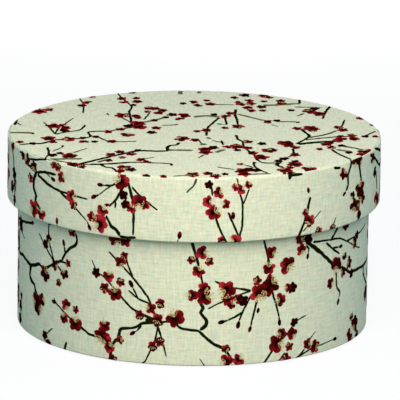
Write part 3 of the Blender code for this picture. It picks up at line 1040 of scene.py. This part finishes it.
def addStroke(target, points, widths, nib, lift, shades):
    # A strip of grid bent along the line, with uneven sides like a brush stroke
    line = smoothLine(points)
    count = len(line) - 1
    seed = chance.uniform(0, ink["knobSeeds"])
    lift += chance.uniform(0, ink["boughSpread"])
    stroke = newDrawing()
    shade = stroke.verts.layers.float["shade"]
    bmesh.ops.create_grid(stroke, x_segments=count, y_segments=1, size=1)
    for vert in stroke.verts:
        index = round((vert.co.x + 1) / 2 * count)
        share = index / count
        run = line[min(index + 1, count)] - line[max(index - 1, 0)]
        side = Vector((-run.y, run.x, 0)).normalized() * Vector((*nib, 0)) * vert.co.y
        width = between(widths, share) + ink["boughSwell"]
        knob = Vector((index * ink["knobsAlong"], seed, vert.co.y * ink["knobsAcross"]))
        width *= 1 + ink["knobs"] * noise.noise(knob)
        if index in (0, count):
            width *= ink["tipShare"]
        vert.co = line[index] + side * width / 2
        vert.co.z = lift
        vert[shade] = between(shades, share)
    append(target, stroke)


def addPatch(target, centre, size, angle, layer, sides, tone):
    # A small rounded patch of ink. Its tone is one shade, or a function of the place.
    patch = newDrawing()
    shade = patch.verts.layers.float["shade"]
    bmesh.ops.create_circle(patch, cap_ends=True, cap_tris=True, segments=sides, radius=1)
    for vert in patch.verts:
        swelling = 1 + blossom["ragged"] * (chance.random() - 0.5)
        flat = Vector((vert.co.x * size[0], vert.co.y * size[1], 0)) * swelling
        flat.rotate(Matrix.Rotation(angle, 3, "Z"))
        vert.co = Vector((centre[0], centre[1], layer * blossom["layer"])) + flat
        vert[shade] = tone(vert.co) if callable(tone) else tone
    append(target, patch)


def petalShade(tone, angle):
    # Dark at the flower's heart and down one side of the petal, where the next one covers it
    side = Vector((-math.sin(angle), math.cos(angle)))
    inner, rim = blossom["petalTone"]

    def shadeAt(point):
        out = min(point.xy.length, 1.0)
        return tone * (inner + rim * out) * (1 + blossom["petalSide"] * side.dot(point.xy))
    return shadeAt


def drawPetals(angles, tones, order):
    petals = newDrawing()
    lit = chance.uniform(0, math.tau)
    shadow = chance.uniform(*blossom["shadow"])
    for place, angle in enumerate(angles):
        tone = chance.uniform(*tones) * (1 - shadow * (0.5 - 0.5 * math.cos(angle - lit)))
        out = chance.uniform(*blossom["petalOut"])
        centre = (math.cos(angle) * out, math.sin(angle) * out)
        size = (chance.uniform(*blossom["petalLong"]), chance.uniform(*blossom["petalWide"]))
        addPatch(petals, centre, size, angle, order[place], blossom["petalSides"],
                 petalShade(tone, angle))
        # Shadow under the petal, which shows between it and the next one
        gap = (centre[0] * blossom["gapOut"], centre[1] * blossom["gapOut"])
        addPatch(petals, gap, blossom["gapSize"], angle, -1, blossom["smallSides"],
                 blossom["gapTone"])
    return petals


def addHeart(petals, size):
    off = blossom["heartOff"]
    heart = (chance.uniform(-off, off), chance.uniform(-off, off))
    addPatch(petals, heart, size, chance.uniform(0, math.pi), blossom["heartLayer"],
             blossom["smallSides"], blossom["heartTone"])


def drawStamens(middle, kind):
    spread, counts, inner, outer = stamen[kind]
    count = chance.randint(*counts)
    stamens = newDrawing()
    for number in range(count):
        angle = middle + spread * (2 * number / (count - 1) - 1)
        angle += chance.uniform(-stamen["turnSpread"], stamen["turnSpread"])
        reach = outer * chance.uniform(*stamen["reachShare"])
        along = Vector((math.cos(angle), math.sin(angle), 0))
        filament = ((reach - inner) / 2, stamen["filamentWide"])
        addPatch(stamens, along * (inner + reach) / 2, filament, angle, 0, stamen["sides"],
                 chance.uniform(*stamen["filamentTone"]))
        speck = (chance.uniform(*stamen["speckLong"]), stamen["speckWide"])
        addPatch(stamens, along * reach, speck, angle, 1, stamen["sides"],
                 chance.uniform(*stamen["speckTone"]))
    return stamens


def openBlossom(tones):
    # Five petals round a dark heart, with a few gold specks leaning one way
    start = chance.uniform(0, math.tau)
    spread = blossom["turnSpread"]
    count = blossom["petals"]
    angles = [start + math.tau * petal / count + chance.uniform(-spread, spread)
              for petal in range(count)]
    order = list(range(count))
    chance.shuffle(order)
    petals = drawPetals(angles, tones, order)
    addHeart(petals, (chance.uniform(*blossom["heartLong"]), chance.uniform(*blossom["heartWide"])))
    return petals, drawStamens(chance.uniform(0, math.tau), "open")


def leaningBlossom(tones):
    # Seen from the side: four petals fan out, and the stamens stand out on the other side
    spread = blossom["leaningSpread"]
    angles = [chance.uniform(-spread, spread) + turn for turn in blossom["leaningTurns"]]
    petals = drawPetals(angles, tones, blossom["leaningOrder"])
    addHeart(petals, blossom["leaningHeart"])
    return petals, drawStamens(math.pi, "leaning")


def closedBud(tones):
    petals = newDrawing()
    tone = chance.uniform(*tones)
    addPatch(petals, (bud["petalAt"], 0), bud["petalSize"], 0, 1, bud["petalSides"], tone)
    addPatch(petals, (bud["cupAt"], 0), bud["cupSize"], 0, 2, blossom["smallSides"], bud["cupTone"])
    return petals, None


def variants(make, kind):
    made = []
    for number in range(blossom["variants"]):
        petals, stamens = make(blossom["tones"][kind])
        stamens = keepMesh(stamens, f"{kind}Stamens{number}") if stamens else None
        made.append((keepMesh(petals, f"{kind}{number}"), stamens))
    return made


shapes = {
    "open": variants(openBlossom, "open"),
    "leaning": variants(leaningBlossom, "leaning"),
    "dusk": variants(leaningBlossom, "dusk"),
    "dark": variants(openBlossom, "dark"),
    "bud": variants(closedBud, "bud"),
}


def placeShape(layers, shape, spot, radius, stretch, turn, rise, tone):
    where = (Matrix.Translation((*spot, 0)) @ Matrix.Diagonal((*stretch, 1, 1))
             @ Matrix.Rotation(turn, 4, "Z") @ Matrix.Diagonal((radius, radius, 1, 1)))
    for mesh, (layer, lift) in zip(shape, ink["blossomLifts"].items()):
        if mesh is None:
            continue
        target = layers[layer]
        known = len(target.verts)
        target.from_mesh(mesh)
        target.verts.ensure_lookup_table()
        shade = target.verts.layers.float["shade"]
        for vert in target.verts[known:]:
            vert.co = where @ vert.co
            vert.co.z += lift + rise
            vert[shade] *= tone


def pickBlossom(family, size, spot):
    turn = chance.uniform(0, math.tau)
    if family == "dark":
        return (chance.choice(shapes["dark"])[0], None), turn
    if family == "dusk":
        return chance.choice(shapes["dusk"]), turn
    if len(spot) == 3:
        return chance.choice(shapes["leaning"]), math.radians(spot[2] - 180)
    if size != "small" and chance.random() < blossom["leaningShare"]:
        return chance.choice(shapes["leaning"]), turn
    return chance.choice(shapes["open"]), turn


def nearestEnd(drawing, spot):
    # The end of the bough or twig next to a bud, and the way that it points
    wood = drawing["boughs"] + drawing["greens"]
    lines = drawing["twigs"] + [points for first, last, points in wood]
    line = min(lines, key=lambda points: math.dist(points[-1], spot))
    return line[-1], math.atan2(line[-1][1] - line[-2][1], line[-1][0] - line[-2][0])


def drawPrint(layers, drawing, side, shift=(0, 0), window=None):
    settle, nib, stretch = ink["settle"][side], ink["boughNib"][side], ink["blossomStretch"][side]
    # The drawing's tone brightens or darkens all its blossoms and buds, partly as painted light
    tone = drawing["tone"]

    def moved(point):
        return point[0] + shift[0] + settle[0], point[1] + shift[1] + settle[1]

    def wanted(points):
        middle = sum(point[1] for point in points) / len(points) + shift[1]
        return window is None or window[0] <= middle < window[1]

    def stroke(points, widths, lift, shades):
        addStroke(layers["boughs"], [moved(point) for point in points], widths, nib, lift, shades)

    for tint, shade in ink["tints"].items():
        for first, last, points in drawing.get(tint, []):
            if wanted(points):
                thin = [max(ink["greenUnder"] - width, 0) for width in (first, last)]
                green = [min(part * ink["greenPerMillimetre"], ink["greenMost"]) for part in thin]
                stroke(points, (first, last), ink["boughLift"], [shade + part for part in green])
    for points in drawing["twigs"]:
        if wanted(points):
            stroke(points, ink["twigWidth"], ink["twigLift"], ink["twigTint"])
    for family in ("open", "dusk", "dark"):
        for size, radius in blossom["radius"].items():
            for spot in drawing.get(family + size.capitalize(), []):
                if not wanted([spot]):
                    continue
                shape, turn = pickBlossom(family, size, spot)
                across = radius * chance.uniform(*blossom["radiusShare"])
                if chance.random() > drawing["stamens"]:
                    shape = shape[0], None
                placeShape(layers, shape, moved(spot), across, stretch, turn,
                           chance.uniform(0, ink["blossomSpread"]), tone)
    nearest, farthest = ink["stalkReach"]
    for spot in drawing["buds"]:
        if not wanted([spot]):
            continue
        end, turn = nearestEnd(drawing, spot[:2])
        if len(spot) == 3:
            turn = math.radians(spot[2])
        elif nearest < math.dist(end, spot) < farthest:
            turn = math.atan2(spot[1] - end[1], spot[0] - end[0])
            stroke([end, spot], ink["stalkWidth"], ink["twigLift"], ink["stalkTint"])
        placeShape(layers, chance.choice(shapes["bud"]), moved(spot),
                   bud["radius"] * chance.uniform(*bud["radiusShare"]), stretch, turn, 0, tone)


def newLayers():
    return {layer: newDrawing() for layer in ("boughs", "blossoms", "stamens")}


def finishPrint(layers, name, body):
    return [finishPiece(drawing, f"{name}_{layer}", body, inks[layer])
            for layer, drawing in layers.items()]


def printStrip(shape, name, body, parts):
    layers = newLayers()
    for drawing, shift, window in parts:
        drawPrint(layers, drawing, "sides", shift, window)
    left, right = stripEnds(shape)
    for sheet in layers.values():
        cut(sheet, sideways, left, clearBefore=True)
        cut(sheet, sideways, right, clearBeyond=True)
        cut(sheet, upwards, shape["along"][0], clearBefore=True)
        cut(sheet, upwards, shape["along"][-1], clearBeyond=True)
        for crease in shape["creases"]:
            cut(sheet, upwards, crease)
        trimLap(sheet, shape)
        addFlatMap(sheet)
        wrap(sheet, wrapStrip(shape))
    return finishPrint(layers, name, body)


topPrinting = {
    "fineBand": 5,          # this near the fold the ink is cut fine, so that it bends
    "fineCuts": 2,
    "pastFold": 3,          # how far down the hem the print goes
}


def printTop(shape, name, body):
    layers = newLayers()
    drawPrint(layers, topDrawing, "top")
    fold, end = shape["creases"][0], shape["along"][-1]
    for sheet in layers.values():
        near = [edge for edge in sheet.edges
                if any(fold - topPrinting["fineBand"] < vert.co.xy.length < end for vert in edge.verts)]
        bmesh.ops.subdivide_edges(sheet, edges=near, cuts=topPrinting["fineCuts"], use_grid_fill=True)
        outside = [face for face in sheet.faces
                   if max(vert.co.xy.length for vert in face.verts) > fold + topPrinting["pastFold"]]
        bmesh.ops.delete(sheet, geom=outside, context="FACES")
        addFlatMap(sheet)
        wrap(sheet, wrapDisc(shape))
    return finishPrint(layers, name, body)


# How the drawings repeat round the box. A window keeps what lies between two heights.
repeats = {
    "base": 284,
    "lid": 300,
    "baseWindow": (-20, 200),
    "filler": (140, 4),             # the lid's drawing, where the closed lid hides the wall
    "fillerWindow": (73, 200),
    "inside": 102,                  # the base's drawing again, where the cloth is turned in
    "insideWindow": (104, 118),
}

baseParts = []
for turn in (-1, 0, 1):
    start = repeats["base"] * turn
    over, rise = repeats["filler"]
    baseParts.append((baseDrawing, (start, 0), repeats["baseWindow"]))
    baseParts.append((lidDrawing, (start + over, rise), repeats["fillerWindow"]))
for start in (0, repeats["base"]):
    baseParts.append((baseDrawing, (start, repeats["inside"]), repeats["insideWindow"]))
lidParts = [(lidDrawing, (repeats["lid"] * turn, 0), None) for turn in (-1, 0, 1)]

basePrint = printStrip(baseStrip, "base_side_print", "base", baseParts)
lidPrint = printStrip(lidStrip, "lid_side_print", "lid", lidParts)
topPrint = printTop(topDisc, "lid_top_print", "lid")
print("print drawn")


# The CAD nodes that stay get their own finishes
for subpart in frame["record"]["subparts"]:
    finish = finishes.get(subpart["material_slot"])
    if finish:
        node = frame["nodes"][subpart["node"]]
        for slot in node.material_slots:
            slot.material = finish
print("papers and boards finished")


# Floor, light and camera

studio = {
    "sky": (0.10, 0.25, 0.375),
    "skyStrength": 0.6,
    "floorReach": 6,                    # metres from its middle
    "floorDrop": 0.0001,                # so that it doesn't lie in one plane with the box's underside
    "floorDim": (0.25, 0.25, 0.25),     # what the floor throws back at the box
    "floorPale": (0.9, 0.9, 0.9),
    "floorGlow": 0.9,
    "floorRoughness": 0.9,
    "middle": (0, 0, 0.06),             # where the lamps point
    # turn in degrees from the front, rise, distance, size, power, colour
    "lamps": {
        "key": (4, 41, 0.9, 0.9, 8.85, (1.11, 1.035, 0.99)),
        "fill": (0, 4, 1.0, 0.6, 0.8, (0.07, 0.80, 0.95)),
        "leftSide": (-112, 10, 1.0, 0.8, 5.2, (0.18, 0.375, 0.53)),
        "rightSide": (112, 10, 1.0, 0.8, 5.6, (0.175, 0.37, 0.54)),
        "leftBack": (-140, 12, 1.0, 0.8, 1.0, (1.0, 0.42, 0.02)),
        "rightBack": (140, 12, 1.0, 0.8, 1.0, (1.0, 0.50, 0.06)),
        "back": (180, 6, 1.0, 0.25, 8.8, (0.33, 0.31, 0.30)),
    },
}


def mixShaders(tree, share, first, second, output):
    mix = addNode(tree, "ShaderNodeMixShader")
    for index, source in enumerate((share, first, second)):
        tree.links.new(source, mix.inputs[index])
    tree.links.new(mix.outputs[0], tree.nodes[output].inputs["Surface"])


def makeFloor():
    drawing = bmesh.new()
    bmesh.ops.create_grid(drawing, x_segments=4, y_segments=4, size=studio["floorReach"])
    bmesh.ops.translate(drawing, verts=drawing.verts, vec=(0, 0, -studio["floorDrop"]))
    mesh = keepMesh(drawing, "floor")
    floor = bpy.data.objects.new("floor", mesh)
    bpy.context.scene.collection.objects.link(floor)
    material, tree, shader = newTree("paleFloor")
    seen = addNode(tree, "ShaderNodeLightPath").outputs["Is Camera Ray"]
    colour = mixColour(tree, seen, (*studio["floorDim"], 1), (*studio["floorPale"], 1))
    tree.links.new(colour, shader.inputs["Base Color"])
    shader.inputs["Roughness"].default_value = studio["floorRoughness"]
    shader.inputs["Specular IOR Level"].default_value = 0.0
    glow = addNode(tree, "ShaderNodeEmission")
    glowing = mathNode(tree, "MULTIPLY", seen, studio["floorGlow"])
    mixShaders(tree, glowing, shader.outputs[0], glow.outputs[0], "Material Output")
    mesh.materials.append(material)


def makeWorld():
    world = bpy.data.worlds.new("studio")
    bpy.context.scene.world = world
    world.use_nodes = True
    tree = world.node_tree
    white = tree.nodes["Background"]
    white.inputs["Color"].default_value = (1, 1, 1, 1)
    soft = addNode(tree, "ShaderNodeBackground")
    soft.inputs["Color"].default_value = (*studio["sky"], 1)
    soft.inputs["Strength"].default_value = studio["skyStrength"]
    path = addNode(tree, "ShaderNodeLightPath")
    seen = mathNode(tree, "ADD", path.outputs["Is Camera Ray"], path.outputs["Is Glossy Ray"])
    seen = mathNode(tree, "ADD", seen, path.outputs["Is Transmission Ray"], clamp=True)
    mixShaders(tree, seen, soft.outputs[0], white.outputs[0], "World Output")


def aimed(item, location, target, roll=0.0):
    item.location = location
    turn = (Vector(target) - Vector(location)).to_track_quat("-Z", "Y")
    item.rotation_euler = (turn.to_matrix() @ Matrix.Rotation(roll, 3, "Z")).to_euler()


def makeLamps():
    middle = Vector(studio["middle"])
    for name, (turn, rise, distance, size, power, colour) in studio["lamps"].items():
        light = bpy.data.lights.new(name, "AREA")
        light.energy = power
        light.color = colour
        light.shape = "DISK"
        light.size = size
        lamp = bpy.data.objects.new(name, light)
        lamp.visible_camera = False
        bpy.context.scene.collection.objects.link(lamp)
        turn, rise = math.radians(turn), math.radians(rise)
        away = Vector((math.sin(turn) * math.cos(rise), -math.cos(turn) * math.cos(rise),
                       math.sin(rise)))
        aimed(lamp, middle + away * distance, middle)


photoView = {
    "lens": 501.7,
    "sensorWidth": 36,
    "clipEnd": 30,
    "elevation": 14.3,
    "distance": 3.0,
    "aim": (0.0035, 0.0035, 0.0658),
    "roll": 0.83,
}


def makeCamera():
    data = bpy.data.cameras.new("camera")
    data.lens = photoView["lens"]
    data.sensor_width = photoView["sensorWidth"]
    data.clip_end = photoView["clipEnd"]
    camera = bpy.data.objects.new("camera", data)
    bpy.context.scene.collection.objects.link(camera)
    rise = math.radians(photoView["elevation"])
    back = Vector((0, -math.cos(rise), math.sin(rise))) * photoView["distance"]
    aim = Vector(photoView["aim"])
    aimed(camera, aim + back, aim, math.radians(photoView["roll"]))
    bpy.context.scene.camera = camera


makeFloor()
makeWorld()
makeLamps()
makeCamera()
bpy.context.scene.view_settings.view_transform = "Standard"
print("studio set")
